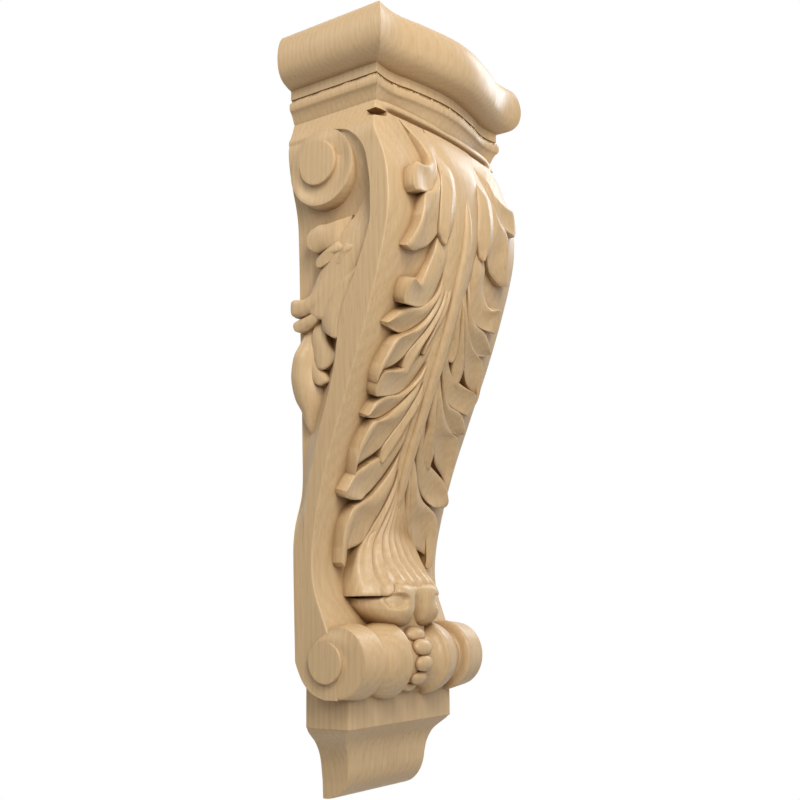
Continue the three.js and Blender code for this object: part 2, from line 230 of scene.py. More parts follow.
def makeConsole():
    coarse, medium, fine = console["levelSteps"]
    levels = np.unique(np.concatenate([
        np.arange(console["bottom"], console["fineFrom"], coarse),
        np.arange(console["fineFrom"], console["recessTop"], medium),
        np.arange(console["recessTop"], console["top"], fine)]))
    rings = []
    for z in levels:
        plane = float(planeProfile(z)[0])
        cut, inner, foot = (float(v) for v in sideProfile(z))
        back = float(undersideProfile(z)[0]) if z < 96 else 0.0
        openness = 1 - float(smooth(z, console["recessTop"] - 5.0, console["recessTop"]))
        ground = plane - cut * openness
        depth = float(frontProfile(z)[0])
        low, full, high = console["notchHeight"]
        notch = float(smooth(z, low, full)) if z < high else 0.0
        r = console["arrisRound"] + console["notchSize"] * notch
        x = np.linspace(0, plane - r, 44)
        front = np.stack([x, frontDepth(x, np.full_like(x, z))], 1)
        edgeDepth = front[-1, 1]
        angle = np.linspace(0, math.pi / 2, 5)[1:]
        bulge = r * (1 - 1.5 * notch * np.sin(2 * angle))
        arris = np.stack([plane - r + bulge * np.sin(angle),
                          edgeDepth - r + bulge * np.cos(angle)], 1)
        inner = max(inner, back + 2)
        foot = max(foot, back + 1)
        side = np.stack([np.full(10, plane), np.linspace(edgeDepth - r - 0.5, inner + 1, 10)], 1)
        t = np.concatenate([[0, 0.02, 0.05, 0.08], np.linspace(0.16, 1, 10)])
        fall = 0.22 * smooth(t, 0, 0.08) + 0.78 * smooth(t, 0, 1.05)
        slope = np.stack([plane - (plane - ground) * fall, inner + (foot - inner) * t ** 1.2], 1)
        floor = np.stack([np.full(8, ground), np.linspace(foot - 0.5, back, 8)], 1)
        half = np.concatenate([front, arris, side, slope, floor])
        whole = np.concatenate([half, (half * [-1, 1])[::-1][:-1]])
        rings.append(np.stack([whole[:, 0], -whole[:, 1], np.full(len(whole), z)], 1))
    shape = Shape()
    shape.loft(rings)
    return shape.build("console")


# The leaf's lobes. Each lies between an outer and an inner edge, drawn as [distance from the
# middle, height] from root to tip, and "end" is its lower rim from the outer tip to the inner one.
# "rise" is its height off the ground in even steps from root to tip. Stem and rib rows are
# height, half width and rise.
frontLeaf = {
    "crown": [
        {"kind": "nose", "rise": [3, 9, 10.5],
         "outer": [[60, 483], [53, 473], [46.5, 462], [44.5, 452.5], [49, 446], [57, 443],
                   [66.5, 442.5]],
         "inner": [[23, 479], [28, 468], [33, 456], [37, 444], [42, 433], [51, 426], [68, 422.5]],
         "end": [[66.5, 442.5], [70, 438.5], [71.3, 432], [71, 426], [68, 422.5]]},
        {"kind": "paddle", "rise": [7, 10.5, 8],
         "outer": [[34, 468], [37, 446], [45, 431], [56, 423.5], [59, 411], [62, 399], [70, 385]],
         "inner": [[31, 468], [34, 446], [36, 432], [37.5, 420], [37, 411], [36, 405], [34, 402]],
         "end": [[70, 385], [60, 383.5], [50, 387], [42, 391], [36, 398], [34, 402]]},
        {"kind": "tongue", "rise": [8, 11.5, 9.5],
         "outer": [[31, 468], [34, 446], [36, 432], [37, 418], [35, 404], [30, 397.5]],
         "inner": [[20, 468], [17, 450], [15.5, 435], [16, 420], [17.5, 408], [23, 397]],
         "end": [[30, 397.5], [26.5, 395.2], [23, 397]]},
    ],
    "upper": [
        {"kind": "nose", "rise": [8, 8, 12.5],
         "outer": [[30, 404], [34, 392], [37, 380], [42.5, 368.5], [49, 364], [57, 366]],
         "inner": [[16, 404], [17.5, 390], [19, 374], [25, 358], [38, 349], [60.5, 347.5]],
         "end": [[57, 366], [61.5, 363.8], [63.8, 357.5], [63.4, 351], [60.5, 347.5]]},
        {"kind": "slim", "rise": [7.5, 9.5, 7],
         "outer": [[17.5, 390], [19, 374], [25, 359], [38, 349.5], [50, 347], [60, 341.5],
                   [70, 332.5]],
         "inner": [[15, 385], [17, 371], [20, 358], [28, 343.5], [38, 334], [50, 328],
                   [69, 330.5]]},
        {"kind": "paddle", "rise": [7.8, 10.5, 9.5],
         "outer": [[13, 388], [16.5, 371], [20, 358], [28, 343.5], [39, 333.5], [50, 328],
                   [58, 323.5], [63, 313], [66, 303], [66, 297]],
         "inner": [[9, 388], [11, 372], [14, 360], [19, 348], [24, 339], [29, 331], [33, 325],
                   [36, 320.5], [38, 318], [38, 317]],
         "end": [[66, 297], [64, 292.5], [62, 299.5], [56, 302.5], [50, 305.5], [44, 310],
                 [38, 317]]},
        {"kind": "tongue", "rise": [7.8, 10.8, 8.5],
         "outer": [[9, 388], [12, 368], [17, 352], [24, 338], [32, 326], [38, 316.5], [38.5, 307]],
         "inner": [[7, 388], [9, 368], [12.5, 352], [18, 336], [21.5, 325], [23, 316], [28, 306]],
         "end": [[38.5, 307], [33.5, 302.6], [28, 306]]},
        {"kind": "slim", "rise": [8, 10.2, 8],
         "outer": [[7, 388], [9, 368], [12.5, 352], [17, 337], [20.5, 326], [20.5, 319]],
         "inner": [[4.5, 385], [5.5, 368], [6.5, 352], [8, 339], [10, 329], [12.5, 321.5]],
         "end": [[20.5, 319], [16, 318.8], [12.5, 321.5]]},
    ],
    "middle": [
        {"kind": "nose", "rise": [8.5, 6, 11],
         "outer": [[8, 352], [12, 335], [18, 320], [28, 310], [42, 305], [58, 302]],
         "inner": [[5.5, 345], [8, 328], [12, 312], [20, 298.5], [34, 288.5], [60, 284]],
         "end": [[58, 302], [62, 299.5], [63.6, 293], [63, 287], [60, 284]]},
        {"kind": "slim", "rise": [9, 9, 9.5],
         "outer": [[8, 330], [11, 315], [19, 300], [33, 289], [50, 285.5], [58, 279.5],
                   [63, 270.5]],
         "inner": [[7, 328], [10, 312], [17, 298], [27, 284.5], [38, 274.5], [48, 269.5],
                   [62, 268.5]]},
        {"kind": "paddle", "rise": [8.5, 10.5, 9.5],
         "outer": [[6.5, 328], [9.5, 312], [16.5, 298], [27, 284.5], [38, 274.5], [47, 269.5],
                   [55, 266.5], [60, 256], [62, 244], [59.5, 230]],
         "inner": [[6, 320], [8.5, 305], [12, 294], [16, 285], [19.5, 277], [23, 269.5],
                   [26, 264], [29, 259], [31.5, 255], [33, 252]],
         "end": [[59.5, 230], [57.5, 225.5], [55.5, 234.5], [48, 240], [40, 245], [33, 252]]},
        {"kind": "tongue", "rise": [10, 11, 9],
         "outer": [[6, 320], [8.5, 303], [14, 289], [21, 274], [28, 261], [33, 251], [33, 243]],
         "inner": [[5, 300], [6.5, 290], [9.5, 277], [13, 269.5], [14.5, 258], [18, 248],
                   [26, 240]],
         "end": [[33, 243], [30.5, 239.8], [26, 240]]},
    ],
    "lower": [
        {"kind": "nose", "rise": [9.5, 7.5, 10.5],
         "outer": [[8, 292], [11, 275], [17, 258], [28, 246], [44, 238], [58, 230], [66, 217]],
         "inner": [[6, 280], [8, 265], [12, 248], [21, 231], [30, 221.5], [38, 216], [46, 212]],
         "end": [[66, 217], [64, 213], [55, 211.5], [46, 212]]},
        {"kind": "paddle", "rise": [9, 10.5, 10],
         "outer": [[6, 264], [9, 250], [14, 240], [22, 227], [32, 216.5], [43, 211], [52, 206],
                   [57, 196], [58, 184], [57, 165]],
         "inner": [[5.5, 250], [7.5, 238], [10, 228], [13, 219], [16, 211], [19, 203.5],
                   [22, 198], [25, 192], [27.5, 187], [29, 183]],
         "end": [[57, 165], [53.5, 162], [50, 164.5], [51.5, 172], [46, 175.5], [36, 178.5],
                 [29, 183]]},
        {"kind": "tongue", "rise": [10, 11, 10],
         "outer": [[5.5, 250], [8, 235], [13, 217], [19, 203], [25, 192], [28.5, 184]],
         "inner": [[5, 235], [6.5, 224], [9, 214], [11, 204], [14, 192], [20, 184]],
         "end": [[28.5, 184], [24, 179], [20, 184]]},
    ],
    "stem": [[484.5, 32, 1.2], [474, 31, 4.6], [460, 28.5, 7.4], [440, 25, 8], [400, 22, 8],
             [360, 17, 8.3], [320, 13, 8.8], [260, 10, 9.2], [222, 9, 9.4], [204, 8, 8.4],
             [190, 5, 5]],
    "rib": [[436, 1.5, 8], [415, 4.5, 11], [390, 5.2, 12.2], [330, 5.6, 12.4], [260, 5.2, 12.4],
            [224, 4.6, 12], [208, 3.4, 10], [192, 2, 5]],
}

# How high a lobe stands across its width, at the root and at the tip, as shares of its rise
lobeKinds = {
    "nose": {"root": [[0, 0.72], [0.25, 0.92], [0.55, 1.0], [0.85, 0.86], [1, 0.6]],
             "tip": [[0, 0.98], [0.12, 1.0], [0.45, 0.8], [0.8, 0.74], [1, 0.78]], "curl": 0.3},
    "slim": {"root": [[0, 0.8], [0.3, 0.94], [0.5, 1.0], [0.75, 0.92], [1, 0.76]],
             "tip": [[0, 0.9], [0.15, 1.0], [0.45, 0.76], [0.8, 0.58], [1, 0.62]], "curl": 0},
    "paddle": {"root": [[0, 0.76], [0.25, 0.92], [0.5, 1.0], [0.78, 0.92], [1, 0.78]],
               "tip": [[0, 0.97], [0.1, 1.0], [0.3, 0.76], [0.5, 0.64], [0.75, 0.62], [1, 0.7]],
               "curl": 0},
    "tongue": {"root": [[0, 0.8], [0.3, 0.94], [0.55, 1.0], [0.8, 0.9], [1, 0.74]],
               "tip": [[0, 0.72], [0.25, 0.84], [0.45, 1.0], [0.65, 0.84], [1, 0.62]], "curl": 0},
    "blob": {"root": [[0, 0.9], [0.3, 0.98], [0.5, 1.0], [0.75, 0.97], [1, 0.88]],
             "tip": [[0, 0.7], [0.2, 0.92], [0.45, 1.0], [0.75, 0.94], [1, 0.72]], "curl": 0},
    "swell": {"root": [[0, 0.95], [0.3, 1.0], [0.55, 0.86], [0.8, 0.5], [1, 0.1]],
              "tip": [[0, 0.9], [0.3, 1.0], [0.55, 0.8], [0.8, 0.35], [1, 0.0]], "curl": 0},
}
stemSections = {
    "broad": [[-1, 0.3], [-0.9, 0.62], [-0.7, 0.86], [-0.4, 0.97], [0, 1], [0.4, 0.97], [0.7, 0.86],
              [0.9, 0.62], [1, 0.3]],
    "round": [[-1, 0.72], [-0.85, 0.84], [-0.6, 0.94], [-0.3, 0.985], [0, 1], [0.3, 0.985],
              [0.6, 0.94], [0.85, 0.84], [1, 0.72]],
}
# Shares of a lobe's length where its parts begin and end, and the rounding of its edges
lobeMesh = {
    "along": 60, "stretch": 0.12, "arris": 0.9, "wallFoot": -3.0, "emerge": 0.3, "rootShare": 0.45,
    "rimFrom": 0.7, "creaseTo": 0.38, "tipBlend": [0.35, 0.8], "curlUp": [0.82, 0.97],
    "curlDown": [0.97, 1.2], "sideEdge": 0.06, "endEdge": 0.035, "stemAlong": 120,
}
lobeAcross = np.array([0, 0.012, 0.03, 0.055, 0.1, 0.16, 0.23, 0.31, 0.39, 0.46, 0.52, 0.58, 0.66,
                       0.74, 0.82, 0.89, 0.94, 0.968, 0.988, 1])


def evenly(points):
    points = np.asarray(points, dtype=float)
    return curveThrough(np.column_stack([np.linspace(0, 1, len(points)), points]))


def makeLobe(shape, lobe, surface):
    t = np.linspace(0, 1, lobeMesh["along"])
    t = t + lobeMesh["stretch"] * np.sin(2 * math.pi * t) / (2 * math.pi)
    s = lobeAcross
    outer, inner = evenly(lobe["outer"])(t), evenly(lobe["inner"])(t)
    flat = outer[:, None] * (1 - s)[:, None] + inner[:, None] * s[:, None]
    if "end" in lobe:
        rim = evenly(lobe["end"])(s)
        straight = lobe["outer"][-1] * (1 - s)[:, None] + lobe["inner"][-1] * s[:, None]
        flat = flat + smooth(t, lobeMesh["rimFrom"], 1)[:, None, None] * (rim - straight)
    kind = lobeKinds[lobe["kind"]]
    tipRise = lobe["rise"][-1]
    rise = evenly([[value] for value in lobe["rise"]])(t)
    creased = curveThrough(kind["root"])(s)[:, 0]
    root = 1 - (1 - creased) * smooth(t, 0, lobeMesh["creaseTo"])[:, None]
    tip = curveThrough(kind["tip"])(s)[:, 0]
    blend = smooth(t, *lobeMesh["tipBlend"])[:, None]
    height = rise * (root * (1 - blend) + tip * blend)
    low = lobeMesh["rootShare"]
    height = height * (low + (1 - low) * smooth(t, 0, lobeMesh["emerge"]))[:, None]
    if kind["curl"]:
        swell = smooth(t, *lobeMesh["curlUp"]) - smooth(t, *lobeMesh["curlDown"])
        height = height + kind["curl"] * tipRise * swell[:, None] * (1 - tip)[None, :] * 2
    edge = np.minimum(s, 1 - s) / lobeMesh["sideEdge"]
    edge = np.minimum(edge[None, :], ((1 - t) / lobeMesh["endEdge"])[:, None])
    height = height - lobeMesh["arris"] * (1 - np.clip(edge, 0, 1)) ** 2
    x, z = flat[..., 0], flat[..., 1]
    top = surface(-x, z, height)
    under = surface(-x, z, np.full_like(height, lobeMesh["wallFoot"]))
    rings = np.concatenate([top, under[:, ::-1]], 1)
    shape.shell(rings, len(s))
    shape.shell(mirrored(rings), len(s))


def makeFrontLeaf():
    shape = Shape()
    for group in ("crown", "upper", "middle", "lower"):
        for lobe in frontLeaf[group]:
            makeLobe(shape, lobe, frontPoint)
    for name, section in (("stem", "broad"), ("rib", "round")):
        z, halfWidth, rise = curveThrough(np.column_stack([
            np.linspace(0, 1, len(frontLeaf[name])), frontLeaf[name]]))(
                np.linspace(0, 1, lobeMesh["stemAlong"])).T
        across, share = np.asarray(stemSections[section], dtype=float).T
        x = halfWidth[:, None] * across
        height = rise[:, None] * share
        z = np.broadcast_to(z[:, None], x.shape)
        under = frontPoint(x, z, np.full_like(height, lobeMesh["wallFoot"]))
        shape.shell(np.concatenate([frontPoint(x, z, height), under[:, ::-1]], 1), len(across))
    return shape.build("frontLeaf")


# Cap mouldings from the bottom up: share of the cap's height, reach beyond the fillet, bow
cap = {
    "bottom": 492.0, "height": 68.0, "halfWidth": 82.6, "depth": 81.8, "bow": 11.2,
    "flare": 1.8, "frontPoints": 301, "sidePoints": 110,
    # the groove's rough upper lip: how rough, where, and how far from the wall it begins
    "roughLip": 0.75, "roughLimit": 1.6, "roughPlace": 0.277, "roughWidth": 0.012, "roughFade": 6,
    # keeps the part sunk in the console off its back
    "inset": 1.0, "insetPlace": [0.03, 0.045],
    "rows": [[-0.03, -5, 0.7], [0.01, -4.9, 0.7], [0.03, -4.1, 0.7], [0.07, -3.0, 0.7],
             [0.11, -2.0, 0.7], [0.15, -0.6, 0.7], [0.17, 0.6, 0.7], [0.185, 1.2, 0.7],
             [0.22, 1.6, 0.7], [0.255, 1.4, 0.7], [0.266, 1.0, 0.7], [0.275, 0.2, 0.7],
             [0.279, -1.1, 0.7], [0.307, -1.1, 0.7], [0.311, -0.3, 0.7], [0.318, 0, 0.7],
             [0.41, 0, 0.7], [0.42, 0.3, 0.72], [0.425, 1.5, 0.75], [0.44, 4.5, 0.85],
             [0.48, 9.5, 1], [0.54, 12.9, 1], [0.62, 14.9, 1], [0.74, 15.7, 1],
             [0.86, 14.7, 1], [0.94, 12.9, 1], [0.985, 11.0, 1], [0.998, 10.2, 1],
             [1, 9.4, 1]],
}


def makeCap():
    rows = np.asarray(cap["rows"])
    places = np.linspace(0, len(rows) - 1, 3 * (len(rows) - 1) + 1)
    share, reach, bow = curveThrough(np.column_stack([np.arange(len(rows)), rows]))(places).T
    along = np.linspace(-1, 1, cap["frontPoints"])
    away = np.abs(along)
    swell = 0.5 + 0.5 * np.cos(math.pi * np.minimum(away / 0.85, 1))
    dip = np.maximum(0, 1 - ((away - 0.77) / 0.23) ** 2) * (1 - swell)
    rings = []
    for s, r, b in zip(share, reach, bow):
        halfWidth = cap["halfWidth"] + r
        depth = cap["depth"] + r + cap["bow"] * b * swell - cap["flare"] * dip
        front = np.stack([halfWidth * along, -depth], 1)
        back = cap["inset"] * (1 - float(smooth(s, *cap["insetPlace"])))
        sides = np.linspace(front[-1, 1], -back, cap["sidePoints"])[1:]
        right = np.stack([np.full(len(sides), halfWidth), sides], 1)
        ring = np.concatenate([front, right, (right * [-1, 1])[::-1]])
        z = cap["bottom"] + s * cap["height"]
        rough = cap["roughLip"] * math.exp(-((s - cap["roughPlace"]) / cap["roughWidth"]) ** 2)
        path = np.cumsum(np.hypot(*np.diff(ring, axis=0, prepend=ring[:1]).T))
        wobble = (np.sin(path * 0.83 + 1) + np.sin(path * 1.71 + 2.2) * 0.8
                  + np.sin(path * 0.31 + 0.5) + np.sin(path * 3.3) * 0.5)
        rough = rough * smooth(-ring[:, 1], 0, cap["roughFade"])
        lift = np.clip(rough * wobble, -cap["roughLimit"], cap["roughLimit"])
        rings.append(np.column_stack([ring, z + lift]))
    shape = Shape()
    shape.loft(rings)
    return shape.build("capMouldings")


# Side scrolls: a spiral disc with a raised eye
scroll = {
    "depth": 31.5, "height": 451.9, "radius": 29.5, "face": 86.8, "eyeDepth": 29.0,
    "eyeHeight": 454.9, "eyeRadius": 16.5, "step": 3.4, "dish": 0.5, "ground": 70.0, "spread": 1.6,
}


spiral = {"around": 200, "deepestTurn": 58, "fade": [-0.85, 0.5]}


def spiralDisc(shape, disc):
    angles = np.linspace(0, 2 * math.pi, spiral["around"], endpoint=False)
    around = np.stack([np.cos(angles), np.sin(angles)], 1)
    centre = np.array([disc["depth"], disc["height"]])
    eye = np.array([disc["eyeDepth"], disc["eyeHeight"]])
    radius, eyeRadius, face, step = (disc[k] for k in ("radius", "eyeRadius", "face", "step"))
    # The step is deepest below the eye and towards the front, and dies out up and back
    turned = angles + math.radians(spiral["deepestTurn"])
    strength = smooth(np.cos(turned), *spiral["fade"])
    rings = [(eye + around * 0.01, face)]
    for share in (0.3, 0.6, 0.85, 0.95):
        rings.append((eye + around * eyeRadius * share, face))
    for share, drop in ((0.985, 0.03), (1.0, 0.14), (1.012, 0.55), (1.025, 0.9), (1.06, 1.0)):
        rings.append((eye + around * eyeRadius * share, face - step * strength * drop))
    inner = eye + around * eyeRadius * 1.06
    outer = centre + around * (radius - 0.9)
    for share in (0.2, 0.4, 0.6, 0.8, 0.95):
        sunk = strength * (1 - disc["dish"] * smooth(share, 0.3, 1.0))
        sunk = sunk + (1 - strength) * (1 - disc["dish"]) * smooth(share, 0, 1)
        rings.append((inner + (outer - inner) * share, face - step * sunk))
    rim = face - step * (1 - disc["dish"])
    rings.append((centre + around * (radius - 0.35), rim - 0.15))
    rings.append((centre + around * radius, rim - 0.8))
    rings.append((centre + around * (radius + 0.4 * disc["spread"]), (rim + disc["ground"]) / 2))
    rings.append((centre + around * (radius + disc["spread"]), disc["ground"]))
    points = [np.column_stack([-np.broadcast_to(x, len(p)), -p[:, 0], p[:, 1]]) for p, x in rings]
    shape.loft(points)
    shape.loft(mirrored(points))


def makeScrolls():
    shape = Shape()
    spiralDisc(shape, scroll)
    return shape.build("sideScrolls")


# Cross roll: half-length places and radii from the end to the middle
roll = {
    "height": 96.0, "depth": 37.5, "around": 120,
    "rows": [[74.4, 0.01], [74.4, 14], [74.5, 23.3], [74.3, 23.9], [73.6, 24.3], [70, 24.7],
             [64, 25.3], [58, 26], [55.5, 26.2], [54, 25.8], [53, 24.4], [52.2, 22], [51.4, 19.6],
             [50, 18.4], [47, 19.6], [43, 22], [38, 24.3], [33, 26], [28, 27], [24.4, 27.4],
             [23, 27.3], [21.8, 26.3], [20.5, 24], [18.5, 21.8], [15, 20.4], [10, 19.8], [5, 19.7],
             [0, 19.7]],
}
rollEnd = {
    "depth": 37.4, "height": 96.0, "radius": 24.0, "face": 78.0, "eyeDepth": 28.7,
    "eyeHeight": 96.0, "eyeRadius": 14.2, "step": 3.2, "dish": 0.0, "ground": 66.0, "spread": -0.8,
}


def makeRoll():
    rows = np.asarray(roll["rows"])
    places = np.linspace(0, len(rows) - 1, 3 * (len(rows) - 1) + 1)
    x, radius = curveThrough(np.column_stack([np.arange(len(rows)), rows]))(places).T
    x = np.concatenate([x, -x[::-1][1:]])
    radius = np.concatenate([radius, radius[::-1][1:]])
    angles = np.linspace(0, 2 * math.pi, roll["around"], endpoint=False)
    rings = [np.stack([np.full(len(angles), a), -roll["depth"] + r * np.cos(angles),
                       roll["height"] + r * np.sin(angles)], 1) for a, r in zip(x, radius)]
    shape = Shape()
    shape.loft(rings)
    spiralDisc(shape, rollEnd)
    return shape.build("crossRoll")


# The leaf's lower end: a fluted apron that swells forward and curls under in two lobes. Apron
# rows are height, half width, rise and edge rise; curl rows are place across, front, top, bottom.
apron = {
    "rows": [[236, 6.5, 5.5, 3], [221, 8.6, 9.2, 4.5], [206, 12.5, 10.8, 5.6], [194, 20, 11.7, 6],
             [184, 29, 13, 6], [174, 37, 17, 6.5],
             [163, 42.5, 22.5, 7.5], [154, 45.5, 28, 8.5], [148, 47, 32.3, 9],
             [144, 47.8, 33, 9.5], [141.2, 48, 33, 9.5]],
    "flutes": 9, "fluteDepth": 2.6, "fluteFrom": [222, 176], "lip": 1.4, "lipHeight": 3.2,
    "along": 100, "across": 241, "middleLift": 4.4, "middle": [23, 30],
}
curl = {
    "rows": [[0, 55.4, 149.6, 117.8], [6, 56.0, 150.2, 117.6], [12, 57.2, 150.6, 117],
             [19, 57.8, 150.4, 117], [24, 56.2, 149, 118.2], [28, 53.2, 143.2, 120.2],
             [32, 49.4, 141.4, 122.8], [36, 44.2, 140.6, 126.2], [39.5, 38, 140, 130],
             [42.5, 30, 139.6, 134.5]],
    "back": 20.0, "squareness": 4.0,
    "cleftDepth": 9.0, "cleftWidth": 4.6, "cleftHeight": [126, 150],
    "hollowAcross": 24.0, "hollowHeight": 138.0, "hollowHalfWidth": 10.5, "hollowHalfHeight": 7.5,
    "hollowDepth": 4.0,
    # wood left between the curl and the roll, behind the first bead
    "root": {"halfWidth": 16.0, "back": 12.0, "front": 47.5, "low": 98.0, "high": 130.0},
}


def makeApron():
    shape = Shape()
    rows = curveThrough(np.column_stack([np.linspace(0, 1, len(apron["rows"])), apron["rows"]]))
    drawn, halfWidth, rise, edge = rows(np.linspace(0, 1, apron["along"])).T
    s = np.sin(np.linspace(-math.pi / 2, math.pi / 2, apron["across"]))
    x = halfWidth[:, None] * s
    lift = apron["middleLift"] * (1 - smooth(np.abs(x), *apron["middle"]))
    top, bottom = drawn[0], drawn[-1]
    z = drawn[:, None] + lift * ((top - drawn) / (top - bottom))[:, None]
    depth = apron["fluteDepth"] * smooth(drawn, *apron["fluteFrom"])[:, None]
    flutes = depth * np.abs(np.sin(math.pi * apron["flutes"] * (s + 1) / 2)) * (1 - s ** 8)
    pillow = np.maximum(1 - np.abs(s) ** 3, 0) ** 0.6
    height = edge[:, None] + (rise - edge)[:, None] * pillow - flutes
    lip = np.clip((bottom + apron["lipHeight"] - drawn) / apron["lipHeight"], 0, 1)[:, None]
    height = height - apron["lip"] * (1 - np.sqrt(1 - 0.98 * lip ** 2))
    under = levelPoint(x, z, np.full_like(height, lobeMesh["wallFoot"]))
    shape.shell(np.concatenate([levelPoint(x, z, height), under[:, ::-1]], 1), len(s))
    return shape.build("flutedApron")


def makeCurl():
    shape = Shape()
    table = curveThrough(curl["rows"])
    u = np.concatenate([np.linspace(0, 7, 22)[:-1], np.linspace(7, 39, 46)[:-1],
                        np.linspace(39, 42.5, 8)])
    x = np.concatenate([-u[::-1], u[1:]])
    front, top, bottom = table(np.abs(x)).T
    turn = np.linspace(0, 2 * math.pi, 120, endpoint=False)
    square = np.where(np.sin(turn) > 0, 2 / curl["squareness"], 1)
    swing = np.sign(np.cos(turn)) * np.abs(np.cos(turn)) ** square
    lift = np.sign(np.sin(turn)) * np.abs(np.sin(turn)) ** square
    out = ((front + curl["back"]) / 2)[:, None] + ((front - curl["back"]) / 2)[:, None] * swing
    up = ((top + bottom) / 2)[:, None] + ((top - bottom) / 2)[:, None] * lift
    across = (np.abs(x)[:, None] - curl["hollowAcross"]) / curl["hollowHalfWidth"]
    rise = (up - curl["hollowHeight"]) / curl["hollowHalfHeight"]
    lip = np.where(rise > 0, rise * 1.3, rise)
    dish = 1 - smooth(np.hypot(across, lip), 0.55, 1.0)
    out = out - curl["hollowDepth"] * dish * (np.cos(turn) > 0)
    cleft = np.exp(-(x[:, None] / curl["cleftWidth"]) ** 2)
    cleft = cleft * (1 - smooth(up, *curl["cleftHeight"]))
    out = out - curl["cleftDepth"] * cleft * (np.cos(turn) > -0.2)
    up = up + 0.25 * curl["cleftDepth"] * cleft * (np.sin(turn) < 0) * -np.sin(turn)
    rings = np.stack([np.broadcast_to(x[:, None], out.shape), -out, up], -1)
    shape.loft(rings)
    root = curl["root"]
    w, back, front = root["halfWidth"], root["back"], root["front"]
    shape.loft([[[-w, -back, z], [w, -back, z], [w, -front, z], [-w, -front, z]]
                for z in (root["low"], root["high"])])
    return shape.build("curledTip")


# Block and pendant under the roll; rows are height, half width and depth
foot = {
    "blockHalfWidth": 63.0, "blockDepth": 38.5, "blockBottom": 50.0, "blockTop": 84.0,
    "rows": [[0, 44.5, 5], [1, 44.5, 9.5], [3, 44.6, 14.4], [7, 44.8, 19.2], [12, 45, 22.8],
             [18, 45.8, 24.8], [26, 47, 25.6], [33, 49.2, 26.4], [40, 53.6, 28.4],
             [43.5, 57.2, 31], [46.5, 60.2, 34.2], [48.5, 61.6, 36.4], [50.2, 62.3, 37.8]],
    "corner": 1.2,
}


def boxRing(halfWidth, depth, z, corner):
    angle = np.linspace(0, math.pi / 2, 5)
    right = np.stack([halfWidth - corner + corner * np.sin(angle),
                      depth - corner + corner * np.cos(angle)], 1)
    front = np.stack([np.linspace(0, halfWidth - corner, 24)[:-1], np.full(23, depth)], 1)
    side = np.stack([np.full(12, halfWidth), np.linspace(depth - corner, 0, 13)[1:]], 1)
    half = np.concatenate([front, right, side])
    whole = np.concatenate([half, (half * [-1, 1])[::-1][:-1]])
    return np.stack([whole[:, 0], -whole[:, 1], np.full(len(whole), z)], 1)


def makeFoot():
    shape = Shape()
    table = curveThrough(foot["rows"])
    levels = np.unique(np.concatenate([np.linspace(0, 4, 14), np.linspace(4, 50.2, 60)]))
    shape.loft([boxRing(*table(z), z, min(foot["corner"], table(z)[1] / 3)) for z in levels])
    w, d, low, high = (foot[k] for k in ("blockHalfWidth", "blockDepth", "blockBottom", "blockTop"))
    shape.loft([boxRing(w - 0.5, d - 0.5, low, 0.8), boxRing(w, d, low + 0.6, foot["corner"]),
                boxRing(w, d, high, foot["corner"])])
    return shape.build("blockAndPendant")


